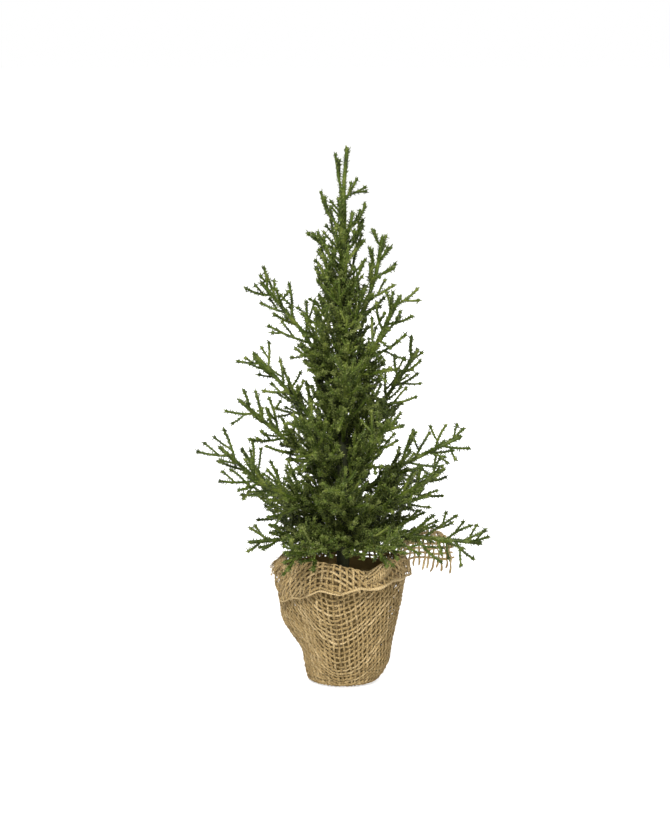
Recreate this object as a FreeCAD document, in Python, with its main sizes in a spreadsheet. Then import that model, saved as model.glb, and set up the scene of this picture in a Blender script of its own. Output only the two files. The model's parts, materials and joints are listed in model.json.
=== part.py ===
import FreeCAD, Part

import math
import os
import random

import MeshPart
import Sketcher

"""A small artificial evergreen in a cloth-wrapped pot.

A cement plug in a tapered plastic pot holds an upright steel rod. Tape binds the root ends of the branches to
the rod. Each branch is a moulded plastic spray over a soft wire core, and it bends up and down where its wire
leaves the tape. Short sprigs, all alike, are bound in between the branches and hide the rod. A piece of
open-weave cloth is wrapped round the pot and turned down over itself, with one corner left standing out.

The origin is on the pot's axis at the table top, and +Z is up. Lengths are in millimetres and angles in degrees.
"""

Vector = FreeCAD.Vector
UP = Vector(0, 0, 1)

# ---------------------------------------------------------------- driving dimensions

DIMENSIONS = {
    # pot, measured over the plastic
    "pot_foot_z": 1.6,
    "pot_height": 75.0,
    "pot_base_radius": 20.5,
    "pot_rim_radius": 36.0,
    "pot_wall": 1.4,
    "pot_floor": 1.8,
    "rim_lip": 1.4,
    "rim_depth": 4.0,
    "drain_radius": 2.5,
    "drain_offset": 12.0,
    # cement plug
    "plug_height": 58.0,
    "plug_gap": 0.05,
    # rod and its tape
    "rod_radius": 1.5,
    "rod_sink": 50.0,
    "rod_top": 312.0,
    "tape_bottom_radius": 4.4,
    "tape_top_radius": 2.8,
    "tape_top": 233.0,
    "bore_gap": 0.03,
    # branches
    "wire_radius": 0.55,
    "stem_radius": 1.25,
    "twig_radius": 0.8,
    "fork_radius": 0.66,
    "bud_radius": 1.3,
    "hinge_offset": 1.1,
    "leader_top": 349.0,
    # cloth
    "cloth_thickness": 1.4,
    "cloth_gap": 0.3,
    "cloth_top": 83.0,
    "cloth_bulge_radius": 41.5,
    "cloth_bulge_z": 68.0,
    "corner_root_radius": 39.0,
    "corner_tip_radius": 72.0,
    "corner_bearing": 14.0,
    "corner_foot": 71.0,
    "corner_arch": 17.0,
    "corner_lean": 9.0,
    # inner sprigs
    "sprig_radius": 1.0,
    "sprig_length": 36.0,
    "sprig_first": 92.0,
    "sprig_last": 234.0,
}

# Each branch: height of its root on the rod, compass bearing from +X towards +Y, length along the stem, the stem's
# rise above level at its root and at its tip, and how far it bends down and up.
BRANCHES = [
    # lowest whorl, nearly level
    (97, -14, 86, 6, -6, 8, 18),
    (92, -66, 74, 6, 14, 10, 18),
    (90, -118, 72, 4, 12, 8, 18),
    (96, -170, 56, 2, -4, 6, 18),
    (92, 128, 78, 6, 14, 10, 18),
    (91, 62, 78, 8, 18, 10, 18),
    # second whorl
    (101, 26, 77, 18, 34, 10, 18),
    (108, -38, 72, 22, 36, 10, 18),
    (110, -90, 72, 24, 34, 10, 18),
    (112, -142, 78, 20, 30, 10, 18),
    (105, 188, 92, 24, 46, 10, 18),
    (112, 98, 76, 24, 36, 10, 18),
    # third whorl
    (122, 4, 82, 36, 22, 12, 16),
    (132, -62, 76, 36, 48, 12, 16),
    (134, -116, 76, 36, 48, 12, 16),
    (136, -168, 82, 36, 44, 12, 16),
    (132, 124, 76, 36, 48, 12, 16),
    # fourth whorl
    (156, 16, 76, 50, 56, 14, 12),
    (160, -88, 70, 48, 60, 14, 12),
    (154, 178, 82, 54, 46, 14, 14),
    (162, 82, 70, 50, 60, 14, 12),
    # fifth whorl
    (188, -36, 80, 60, 60, 16, 8),
    (192, -120, 66, 58, 66, 16, 8),
    (195, 184, 84, 64, 46, 16, 10),
    (198, 100, 64, 58, 66, 16, 8),
    # below the leader
    (226, 4, 70, 60, 84, 16, 4),
]

# ---------------------------------------------------------------- document helpers


def new_sheet(doc, label, cells):
    """A spreadsheet whose plain numbers have their names as aliases."""
    sheet = doc.addObject("Spreadsheet::Sheet", label)
    for row, (alias, value) in enumerate(cells.items(), start=1):
        sheet.set(f"A{row}", alias)
        sheet.set(f"B{row}", str(value))
        sheet.setAlias(f"B{row}", alias)
    return sheet


def bind(obj, **expressions):
    """Ties properties of obj to expressions on the sheet."""
    for name, text in expressions.items():
        obj.setExpression(name, text)
    return obj


def origin_plane(body, role):
    return next(f for f in body.Origin.OriginFeatures if f.Role == role)


def outline(body, name, corners):
    """A closed outline on the XZ plane. Each corner is a pair of expressions: distance from the axis, height."""
    sketch = body.newObject("Sketcher::SketchObject", name)
    sketch.AttachmentSupport = [(origin_plane(body, "XZ_Plane"), "")]
    sketch.MapMode = "FlatFace"
    count = len(corners)
    angles = [2 * math.pi * i / count for i in range(count + 1)]
    start = [Vector(50 + 10 * math.cos(a), 50 + 10 * math.sin(a), 0) for a in angles]
    for i in range(count):
        sketch.addGeometry(Part.LineSegment(start[i], start[i + 1]), False)
    for i in range(count):
        sketch.addConstraint(Sketcher.Constraint("Coincident", i, 2, (i + 1) % count, 1))
    for i, (across, height) in enumerate(corners):
        for kind, text, axis in (("DistanceX", across, -2), ("DistanceY", height, -1)):
            if text == "0":
                sketch.addConstraint(Sketcher.Constraint("PointOnObject", i, 1, axis))
                continue
            start_value = start[i].x if kind == "DistanceX" else start[i].y
            number = sketch.addConstraint(Sketcher.Constraint(kind, -1, 1, i, 1, start_value))
            sketch.setExpression(f"Constraints[{number}]", text)
    return sketch


def revolved(doc, label, corners):
    """A body made by turning an outline once round the Z axis."""
    body = doc.addObject("PartDesign::Body", label)
    sketch = outline(body, label + "_outline", corners)
    turned = body.newObject("PartDesign::Revolution", label + "_turned")
    turned.Profile = sketch
    turned.ReferenceAxis = (sketch, ["V_Axis"])
    turned.Angle = 360
    sketch.Visibility = False
    doc.recompute()
    return body


def solid_feature(doc, label, shape):
    feature = doc.addObject("Part::Feature", label)
    feature.Shape = shape
    return feature


# ---------------------------------------------------------------- fixed pieces


def make_pot(doc):
    """A tapered plastic pot with a turned-out lip and a ring of drain holes."""
    body = revolved(doc, "pot_shell", [
        ("0", "dims.pot_foot_z"),
        ("dims.pot_base_radius", "dims.pot_foot_z"),
        ("dims.pot_rim_radius - dims.pot_wall / 2", "dims.pot_height - dims.rim_depth"),
        ("dims.pot_rim_radius + dims.rim_lip", "dims.pot_height - dims.rim_depth"),
        ("dims.pot_rim_radius + dims.rim_lip", "dims.pot_height"),
        ("dims.pot_rim_radius - dims.pot_wall", "dims.pot_height"),
        ("dims.pot_base_radius - dims.pot_wall", "dims.pot_foot_z + dims.pot_floor"),
        ("0", "dims.pot_foot_z + dims.pot_floor"),
    ])
    before = body.Shape.Volume
    plan = body.newObject("Sketcher::SketchObject", "pot_drain_plan")
    plan.AttachmentSupport = [(origin_plane(body, "XY_Plane"), "")]
    plan.MapMode = "FlatFace"
    plan.addGeometry(Part.Circle(Vector(12, 0, 0), UP, 2.5), False)
    plan.addConstraint(Sketcher.Constraint("PointOnObject", 0, 3, -1))
    across = plan.addConstraint(Sketcher.Constraint("DistanceX", -1, 1, 0, 3, 12))
    radius = plan.addConstraint(Sketcher.Constraint("Radius", 0, 2.5))
    plan.setExpression(f"Constraints[{across}]", "dims.drain_offset")
    plan.setExpression(f"Constraints[{radius}]", "dims.drain_radius")
    drain = body.newObject("PartDesign::Pocket", "pot_drain")
    drain.Profile = plan
    drain.Reversed = True
    bind(drain, Length="dims.pot_foot_z + dims.pot_floor + 1")
    doc.recompute()
    ring = body.newObject("PartDesign::PolarPattern", "pot_drain_ring")
    ring.Originals = [drain]
    ring.Axis = (plan, ["N_Axis"])
    ring.Angle = 360
    ring.Occurrences = 4
    body.Tip = ring
    doc.recompute()
    assert body.Shape.Volume < before, "the drain holes cut nothing"
    return body


def make_ballast(doc):
    """The cement plug, cast round the rod's lower end. Its side follows the pot's inner wall."""
    plug = bind(
        doc.addObject("Part::Cone", "ballast_plug"),
        Radius1="dims.pot_base_radius - dims.pot_wall - dims.plug_gap",
        Radius2="dims.pot_base_radius - dims.pot_wall - dims.plug_gap + (dims.pot_rim_radius - dims.pot_base_radius)"
        " * dims.plug_height / (dims.pot_height - dims.pot_foot_z - dims.pot_floor)",
        Height="dims.plug_height",
    )
    plug.setExpression("Placement.Base.z", "dims.pot_foot_z + dims.pot_floor + dims.plug_gap")
    bore = bind(
        doc.addObject("Part::Cylinder", "ballast_bore"),
        Radius="dims.rod_radius + dims.bore_gap",
        Height="dims.rod_sink + 1",
    )
    bore.setExpression("Placement.Base.z", "dims.pot_foot_z + dims.pot_floor + dims.plug_height - dims.rod_sink")
    cast = doc.addObject("Part::Cut", "ballast")
    cast.Base, cast.Tool = plug, bore
    return cast


def make_rod(doc):
    rod = bind(
        doc.addObject("Part::Cylinder", "trunk_rod"),
        Radius="dims.rod_radius",
        Height="dims.rod_top - dims.pot_foot_z - dims.pot_floor - dims.plug_height + dims.rod_sink - 0.1",
    )
    rod.setExpression(
        "Placement.Base.z", "dims.pot_foot_z + dims.pot_floor + dims.plug_height - dims.rod_sink + 0.1"
    )
    return rod


def corner_surface(size):
    """The loose corner of the cloth: it stands out from the rim like a flag, with an arched top edge."""
    bearing = math.radians(size["corner_bearing"])
    outward = Vector(math.cos(bearing), math.sin(bearing), 0)
    sideways = Vector(-math.sin(bearing), math.cos(bearing), 0)
    rows = []
    for share in (0.0, 0.25, 0.5, 0.75, 1.0):
        out = size["corner_root_radius"] + share * (size["corner_tip_radius"] - size["corner_root_radius"])
        top = size["cloth_top"] + size["corner_arch"] * math.sin(math.pi * (0.12 + 0.8 * share))
        row = []
        for rise in (0.0, 0.25, 0.5, 0.75, 1.0):
            height = size["corner_foot"] + rise * (top - size["corner_foot"])
            row.append(outward * out + sideways * (size["corner_lean"] * (rise - 0.5)) + UP * height)
        rows.append(row)
    surface = Part.BSplineSurface()
    surface.interpolate(rows)
    return surface


def make_cloth(doc, size, obstacles):
    """The cloth: a cup that is turned down over itself round its mouth, and one corner left standing out."""
    cup = revolved(doc, "cloth_cup", [
        ("0", "0"),
        ("dims.pot_base_radius - 2", "0"),
        ("dims.pot_base_radius + 3", "dims.pot_foot_z"),
        ("dims.pot_base_radius + 5.4", "6"),
        ("dims.pot_base_radius + 8", "16"),
        ("dims.pot_base_radius + 13.5", "38"),
        ("dims.cloth_bulge_radius - 2", "54"),
        ("dims.cloth_bulge_radius", "dims.cloth_bulge_z"),
        ("dims.cloth_bulge_radius - 0.6", "dims.cloth_top - 4"),
        ("dims.cloth_bulge_radius - 2", "dims.cloth_top"),
        ("dims.pot_rim_radius + dims.rim_lip + dims.cloth_gap", "dims.cloth_top"),
        ("dims.pot_rim_radius + dims.rim_lip + dims.cloth_gap", "54"),
        ("dims.pot_base_radius + 13.5 - dims.cloth_thickness", "38"),
        ("dims.pot_base_radius + 8 - dims.cloth_thickness", "16"),
        ("dims.pot_base_radius + 1.2", "dims.pot_foot_z - dims.cloth_gap"),
        ("0", "dims.pot_foot_z - dims.cloth_gap"),
    ])
    surface = corner_surface(size)
    obstacles += [surface.value(u / 18, v / 18) for u in range(2, 19) for v in range(19)]
    bearing = math.radians(size["corner_bearing"])
    thickness = Vector(-math.sin(bearing), math.cos(bearing), 0) * size["cloth_thickness"]
    corner = solid_feature(doc, "cloth_corner", surface.toShape().extrude(thickness))
    cloth = doc.addObject("Part::Fuse", "burlap_wrap")
    cloth.Base, cloth.Tool = cup, corner
    return cloth


# ---------------------------------------------------------------- twigs

MOST_BEND = math.radians(9)


class Shoot:
    """A round shoot that sets off along heading and turns towards side, in straight lengths with mitred corners."""

    def __init__(self, start, heading, side, length, turn):
        self.start, self.heading, self.side, self.length = start, heading, side, length
        self.turn = math.radians(turn)
        self.lengths = max(2, math.ceil(abs(self.turn) / MOST_BEND))
        self.corners = [self.on_arc(length * i / self.lengths) for i in range(self.lengths + 1)]

    def on_arc(self, run):
        """The point this far along the arc that the shoot follows."""
        if abs(self.turn) < 1e-6:
            return self.start + self.heading * run
        radius = self.length / self.turn
        angle = run / radius
        return self.start + self.heading * (radius * math.sin(angle)) + self.side * (radius * (1 - math.cos(angle)))

    def at(self, run):
        """The point this far along the shoot's own line, which is made of the arc's chords."""
        place = run / self.length * self.lengths
        number = min(int(place), self.lengths - 1)
        first, second = self.corners[number : number + 2]
        return first + (second - first) * (place - number)

    def direction(self, run):
        place = min(int(run / self.length * self.lengths), self.lengths - 1)
        return (self.corners[place + 1] - self.corners[place]).normalize()

    def points(self, spacing=2.0, skip=0.0):
        count = max(2, round((self.length - skip) / spacing))
        return [self.at(skip + (self.length - skip) * i / count) for i in range(count + 1)]

    def pipe(self, radius, first=0.0, last=None):
        """A solid rod of this radius along the shoot's line between two distances."""
        last = self.length if last is None else last
        runs = [self.length * i / self.lengths for i in range(self.lengths + 1)]
        line = [self.at(first)] + [self.at(run) for run in runs if first < run < last] + [self.at(last)]
        if len(line) == 2:
            return Part.makeCylinder(radius, (line[1] - line[0]).Length, line[0], line[1] - line[0])
        ring = Part.Wire([Part.makeCircle(radius, line[0], line[1] - line[0])])
        right_corners = 1
        return Part.makePolygon(line).makePipeShell([ring], True, False, right_corners)

    def bud(self, radius):
        """A bud at the tip: two cones, base to base, on the shoot's own line."""
        tip, along = self.at(self.length), self.direction(self.length)
        half = 0.85 * radius
        rear = Part.makeCone(0.5 * radius, radius, half, tip - along * half, along)
        return [rear, Part.makeCone(radius, 0.4 * radius, half, tip, along)]


def square_to(direction, towards):
    """The unit vector nearest to towards that is square to direction."""
    side = towards - direction * direction.dot(towards)
    return side / side.Length


class Branch:
    """One spray: a stem, its twigs, and the line that it bends about."""

    def __init__(self, number, row, size):
        self.name = f"{number:02d}"
        self.root_height, bearing, length, rise_root, rise_tip, self.bend_down, self.bend_up = row
        self.bearing = math.radians(bearing)
        self.outward = Vector(math.cos(self.bearing), math.sin(self.bearing), 0)
        self.hinge_axis = Vector(math.sin(self.bearing), -math.cos(self.bearing), 0)
        self.hinge = self.outward * (tape_radius(size, self.root_height) + size["hinge_offset"])
        self.hinge += UP * self.root_height
        rise = math.radians(rise_root)
        heading = self.outward * math.cos(rise) + UP * math.sin(rise)
        side = UP * math.cos(rise) - self.outward * math.sin(rise)
        self.stem = Shoot(self.hinge, heading, side, length, rise_tip - rise_root)
        self.twigs = []
        self.forks = []

    def bent(self, points, degrees):
        """The points after the branch bends up by this angle."""
        c, s = math.cos(math.radians(degrees)), math.sin(math.radians(degrees))
        moved = []
        for point in points:
            offset = point - self.hinge
            out, rise = offset.dot(self.outward), offset.z
            moved.append(point + self.outward * (out * c - rise * s - out) + UP * (out * s + rise * c - rise))
        return moved


CLEARANCE = 3.0
ROD_ROOM = 2.5


class Crown:
    """Where every branch is, at rest and bent, so that a new twig can keep out of the others' way.

    Branches bend one at a time, all down or all up, so those are the cases it keeps."""

    def __init__(self, gap):
        self.gap = gap
        self.cells = {"rest": {}, "swept": {}, "low": {}, "high": {}}

    def cell(self, point):
        return tuple(math.floor(v / self.gap) for v in point)

    def add(self, case, owner, points):
        for point in points:
            self.cells[case].setdefault(self.cell(point), []).append((owner, point))

    def meets(self, case, owner, points, gap=None, own=False):
        """True if a point is within the gap of a point that belongs to another branch, or with own, to this one."""
        gap = gap or self.gap
        cells = self.cells[case]
        for point in points:
            x, y, z = self.cell(point)
            for i in (x - 1, x, x + 1):
                for j in (y - 1, y, y + 1):
                    for k in (z - 1, z, z + 1):
                        for other, place in cells.get((i, j, k), ()):
                            if (other == owner) == own and (place - point).Length < gap:
                                return True
        return False


BEND_STEP = 2.0


def bend_cases(branch):
    """The angles a branch is tried at, from all the way down to all the way up."""
    steps = round((branch.bend_down + branch.bend_up) / BEND_STEP)
    return [(branch.bend_down + branch.bend_up) * i / steps - branch.bend_down for i in range(steps + 1)]


def tape_radius(size, height):
    foot = size["pot_foot_z"] + size["pot_floor"] + size["plug_height"]
    share = (height - foot) / (size["tape_top"] - foot)
    return size["tape_bottom_radius"] + share * (size["tape_top_radius"] - size["tape_bottom_radius"])


def settle(crown, branch, points):
    """Enters points of a branch in the crown for each case."""
    crown.add("rest", branch.name, points)
    crown.add("low", branch.name, branch.bent(points, -branch.bend_down))
    crown.add("high", branch.name, branch.bent(points, branch.bend_up))
    for angle in bend_cases(branch):
        crown.add("swept", branch.name, branch.bent(points, angle))


def is_clear(crown, branch, points, size):
    """True if these points keep clear of the other branches, the rod and the cloth, however the branch bends."""
    swept = [branch.bent(points, angle) for angle in bend_cases(branch)]
    for point in (p for moved in swept for p in moved):
        from_axis = math.hypot(point.x, point.y)
        if from_axis < tape_radius(size, point.z) + ROD_ROOM:
            return False
        if point.z < size["cloth_top"] + CLEARANCE and from_axis < size["cloth_bulge_radius"] + CLEARANCE:
            return False
    if crown.meets("swept", branch.name, points):
        return False
    if any(crown.meets("rest", branch.name, moved) for moved in swept):
        return False
    return not (
        crown.meets("low", branch.name, swept[0]) or crown.meets("high", branch.name, swept[-1])
    )


FIRST_TWIG = 9.0
TWIG_SPACING = 5.0
GOLDEN_ANGLE = 137.5
OWN_GAP = 2.5
ATTEMPTS = 14


def side_shoot(parent, run, roll, spread, length, turn):
    """A shoot that leaves its parent at this run, rolled this far round it, and curls back towards the parent's
    heading and upwards. Angles are in degrees."""
    along = parent.direction(run)
    across = square_to(along, UP)
    away = across * math.cos(math.radians(roll)) + along.cross(across) * math.sin(math.radians(roll))
    heading = along * math.cos(math.radians(spread)) + away * math.sin(math.radians(spread))
    return Shoot(parent.at(run), heading, square_to(heading, UP * 0.7 + along), length, turn)


def place(crown, branch, shoot, size):
    """Enters the shoot in the crown if there is room for it."""
    points = shoot.points(skip=3.2)
    if crown.meets("rest", branch.name, points[1:], gap=OWN_GAP, own=True):
        return False
    if not is_clear(crown, branch, points, size):
        return False
    settle(crown, branch, points)
    return True


def grow_twigs(crown, branch, size, rng):
    """Adds twigs round the stem from its root to its tip, each one turned by the golden angle from the last."""
    stem = branch.stem
    roll = rng.uniform(0, 360)
    for number in range(int((stem.length * 0.95 - FIRST_TWIG) / TWIG_SPACING) + 1):
        run = FIRST_TWIG + number * TWIG_SPACING
        reach = (0.40 - 0.22 * run / stem.length) * stem.length * rng.uniform(0.85, 1.15)
        roll += GOLDEN_ANGLE
        for attempt in range(ATTEMPTS):
            turned = roll + rng.uniform(-12, 12) * attempt
            length = reach * (1 - 0.045 * attempt)
            twig = side_shoot(stem, run, turned, rng.uniform(42, 58), length, rng.uniform(14, 34))
            if place(crown, branch, twig, size):
                branch.twigs.append(twig)
                break


def grow_forks(crown, branch, size, rng):
    """Forks the longer twigs once or twice."""
    for twig in branch.twigs:
        for share in (0.35, 0.62)[: int(twig.length / 12)]:
            for attempt in range(ATTEMPTS):
                run = twig.length * share * rng.uniform(0.9, 1.1)
                length = (twig.length - run) * rng.uniform(0.75, 1.0)
                fork = side_shoot(twig, run, rng.uniform(0, 360), rng.uniform(40, 60), length, rng.uniform(8, 24))
                if place(crown, branch, fork, size):
                    branch.forks.append(fork)
                    break


# ---------------------------------------------------------------- moulded sprays and their wires

WIRE_SHARE = 0.8
STEM_START = 1.3


MESH_SAG, MESH_TURN = 0.03, 0.3


def meshes_closed(solid):
    mesh = MeshPart.meshFromShape(
        Shape=solid.copy(), LinearDeflection=MESH_SAG, AngularDeflection=MESH_TURN, Relative=False
    )
    return mesh.isSolid()


def moulded(label, core, shoots, buds, bore=None):
    """One moulding: the core, round shoots that leave it and buds at their tips, bored. Shoots and buds are given
    as pairs of a shoot and a radius.

    OpenCascade leaves a shoot off or spoils a face where some surfaces nearly coincide, so a moulding that doesn't
    come out as one sound solid is made again with slightly thinner shoots."""
    made = []
    for thinning in (1.0, 0.97, 0.94, 0.91, 0.88):
        pieces = [shoot.pipe(radius * thinning) for shoot, radius in shoots]
        pieces += [cone for shoot, radius in buds for cone in shoot.bud(radius * thinning)]
        moulding = core.fuse(pieces)
        if bore:
            moulding = moulding.cut(bore)
        if moulding.isValid() and all(meshes_closed(solid) for solid in moulding.Solids):
            made.append((len(moulding.Solids), 1 - thinning, moulding))
            if len(moulding.Solids) == 1:
                break
    solids, thinned, moulding = min(made, key=lambda entry: entry[:2])
    largest = max(moulding.Solids, key=lambda solid: solid.Volume)
    print(f"{label}: {solids} solid(s), thinned by {thinned:.2f}, kept {largest.Volume / moulding.Volume:.3f}")
    return largest


def spray_solid(branch, size):
    """The moulded plastic of one branch: stem, twigs, forks and a bud at each tip, bored for the wire."""
    stem, twigs, forks = branch.stem, branch.twigs, branch.forks
    shoots = [(twig, size["twig_radius"]) for twig in twigs] + [(fork, size["fork_radius"]) for fork in forks]
    buds = [(shoot, size["bud_radius"]) for shoot in twigs + forks] + [(stem, size["bud_radius"] * 1.15)]
    bore = stem.pipe(size["wire_radius"] + size["bore_gap"], 0, stem.length * WIRE_SHARE + 0.5)
    return moulded(f"spray {branch.name}", stem.pipe(size["stem_radius"], STEM_START), shoots, buds, bore)


def wire_solid(branch, size):
    """The soft wire core. A short round knuckle at its root is the place where it bends."""
    radius = size["wire_radius"]
    knuckle = Part.makeCylinder(radius, 2 * radius, branch.hinge - branch.hinge_axis * radius, branch.hinge_axis)
    return branch.stem.pipe(radius, 0, branch.stem.length * WIRE_SHARE).fuse(knuckle)


def stub_solid(branch, size, grow=0.0):
    """The wire's fixed end, from the rod out to the bend. With grow it is the hole that it needs in the tape."""
    radius = size["wire_radius"] + grow
    first = size["rod_radius"] + size["bore_gap"] - grow
    last = math.hypot(branch.hinge.x, branch.hinge.y) - size["wire_radius"] - 0.08
    start = branch.outward * first + UP * branch.root_height
    return Part.makeCylinder(radius, last - first, start, branch.outward)


def make_tape(doc, size, branches):
    """Tape wound round the rod in a tapering sleeve, with the branch wires coming out through it."""
    wound = bind(
        doc.addObject("Part::Cone", "tape_wound"),
        Radius1="dims.tape_bottom_radius",
        Radius2="dims.tape_top_radius",
        Height="dims.tape_top - dims.pot_foot_z - dims.pot_floor - dims.plug_height - 0.2",
    )
    foot = "dims.pot_foot_z + dims.pot_floor + dims.plug_height + 0.2"
    wound.setExpression("Placement.Base.z", foot)
    bore = bind(
        doc.addObject("Part::Cylinder", "tape_bore"),
        Radius="dims.rod_radius + dims.bore_gap",
        Height="dims.tape_top",
    )
    holes = solid_feature(
        doc, "tape_holes", Part.makeCompound([stub_solid(b, size, size["bore_gap"]) for b in branches])
    )
    sleeve = doc.addObject("Part::Cut", "tape_sleeve")
    sleeve.Base, sleeve.Tool = wound, bore
    tape = doc.addObject("Part::Cut", "trunk_tape")
    tape.Base, tape.Tool = sleeve, holes
    return tape


# Twigs of the leader: height on its stem, bearing, length, rise above level, and the turn of the arc.
LEADER_TWIGS = [
    (316, 182, 30, 76, 8),
    (315, 350, 17, 56, 8),
    (318, 30, 17, 28, -34),
    (309, 100, 16, 40, 30),
    (304, 250, 17, 42, 30),
    (297, 186, 29, 38, 44),
    (296, -14, 24, 24, 56),
    (291, 60, 20, 36, 36),
    (288, -58, 24, 44, 34),
    (284, 190, 26, 10, 34),
    (280, 124, 26, 40, 36),
    (277, -110, 27, 42, 34),
    (272, 200, 30, 40, 30),
    (268, 76, 28, 42, 36),
    (264, -78, 30, 40, 38),
    (260, 146, 30, 40, 30),
    (256, -136, 32, 38, 34),
    (252, 212, 30, 38, 30),
    (247, -50, 28, 44, 30),
    (243, 98, 30, 44, 30),
    (239, -100, 32, 42, 34),
    (300, -100, 19, 38, 34),
    (293, 128, 22, 34, 34),
    (286, 10, 22, 34, 40),
    (281, -20, 24, 40, 34),
    (274, 30, 24, 38, 34),
    (270, 150, 27, 36, 32),
    (266, 230, 28, 38, 32),
    (258, 60, 28, 38, 34),
    (255, -20, 26, 42, 34),
    (250, 165, 29, 36, 32),
    (245, 235, 30, 38, 30),
    (241, 160, 30, 42, 30),
    (237, 60, 28, 46, 30),
]
LEADER_FORKS = ((0.42, 75), (0.66, -80))


def leader_shoots(size):
    """The upright shoot at the top, its twigs and their forks."""
    foot = size["rod_top"] - 4
    stem = Shoot(UP * foot, UP, Vector(1, 0, 0), size["leader_top"] - foot, 7)
    twigs = []
    for height, bearing, length, rise, turn in LEADER_TWIGS:
        angle, slope = math.radians(bearing), math.radians(rise)
        outward = Vector(math.cos(angle), math.sin(angle), 0)
        heading = outward * math.cos(slope) + UP * math.sin(slope)
        side = UP * math.cos(slope) - outward * math.sin(slope)
        start = stem.at(height - foot) if height > foot else UP * height
        twigs.append(Shoot(start, heading, side, length, turn))
    forks = [
        side_shoot(twig, twig.length * share, roll, 48, twig.length * (0.95 - share), 16)
        for twig in twigs
        for share, roll in LEADER_FORKS[: int(twig.length / 11)]
    ]
    return stem, twigs, forks


def leader_solid(size, stem, twigs, forks):
    """The moulded leader. It fits over the rod's top end."""
    foot = size["tape_top"] + 0.3
    wall, shoulder, taper = 0.6, size["rod_top"] + 2, 8
    neck = size["rod_radius"] + wall
    sleeve = Part.makeCone(size["tape_top_radius"], neck, shoulder - foot, Vector(0, 0, foot), UP)
    tip = Part.makeCone(neck, size["stem_radius"] + 0.1, taper, Vector(0, 0, shoulder), UP)
    core = sleeve.fuse([tip, stem.pipe(size["stem_radius"])])
    bore = Part.makeCylinder(size["rod_radius"] + size["bore_gap"], size["rod_top"] + 0.2, Vector(0, 0, 0), UP)
    buds = [(shoot, size["bud_radius"]) for shoot in twigs + forks] + [(stem, size["bud_radius"] * 1.3)]
    shoots = [(twig, size["twig_radius"]) for twig in twigs] + [(fork, size["fork_radius"]) for fork in forks]
    return moulded("leader", core, shoots, buds, bore)


# ---------------------------------------------------------------- inner sprigs

SPRIG_COUNT = 44
# Each twig of a sprig: distance along its stem, roll round it away from the rod, and length.
SPRIG_TWIGS = [(8, 105, 12), (12, -115, 13), (16, 70, 12), (20, -75, 13), (24, 130, 11), (28, -140, 10), (31, 40, 9)]


def sprig_shoots(size):
    """A sprig's stem and twigs, with its root at the origin, facing +X."""
    rise = math.radians(60)
    heading = Vector(math.cos(rise), 0, math.sin(rise))
    stem = Shoot(Vector(0, 0, 0), heading, Vector(-math.sin(rise), 0, math.cos(rise)), size["sprig_length"], 10)
    return stem, [side_shoot(stem, run, roll, 50, length, 20) for run, roll, length in SPRIG_TWIGS]


def sprig_places(crown, size, stem, twigs):
    """Finds room for each sprig: the placements, lowest first."""
    shape = [point for shoot in [stem] + twigs for point in shoot.points()]
    places = []
    for number in range(SPRIG_COUNT):
        height = size["sprig_first"] + (size["sprig_last"] - size["sprig_first"]) * number / (SPRIG_COUNT - 1)
        reach = tape_radius(size, height) + size["sprig_radius"] * 1.3
        for attempt in range(48):
            turn = FreeCAD.Rotation(UP, number * GOLDEN_ANGLE + attempt * 7.5)
            place = FreeCAD.Placement(turn.multVec(Vector(reach, 0, 0)) + UP * height, turn)
            points = [place.multVec(point) for point in shape]
            if not crown.meets("swept", "sprigs", points) and not crown.meets("rest", "sprigs", points, own=True):
                places.append(place)
                for case in crown.cells:
                    crown.add(case, "sprigs", points)
                break
    return places


def sprigs_compound(size, stem, twigs, places):
    """The sprigs, each one a copy of the same moulding."""
    buds = [(twig, size["bud_radius"] * 0.9) for twig in twigs] + [(stem, size["bud_radius"] * 1.1)]
    shoots = [(twig, size["fork_radius"]) for twig in twigs]
    moulding = moulded("sprig", stem.pipe(size["sprig_radius"]), shoots, buds)
    return Part.makeCompound([moulding.transformed(place.toMatrix()) for place in places])


# ---------------------------------------------------------------- assembly

SEED = 11


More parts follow.
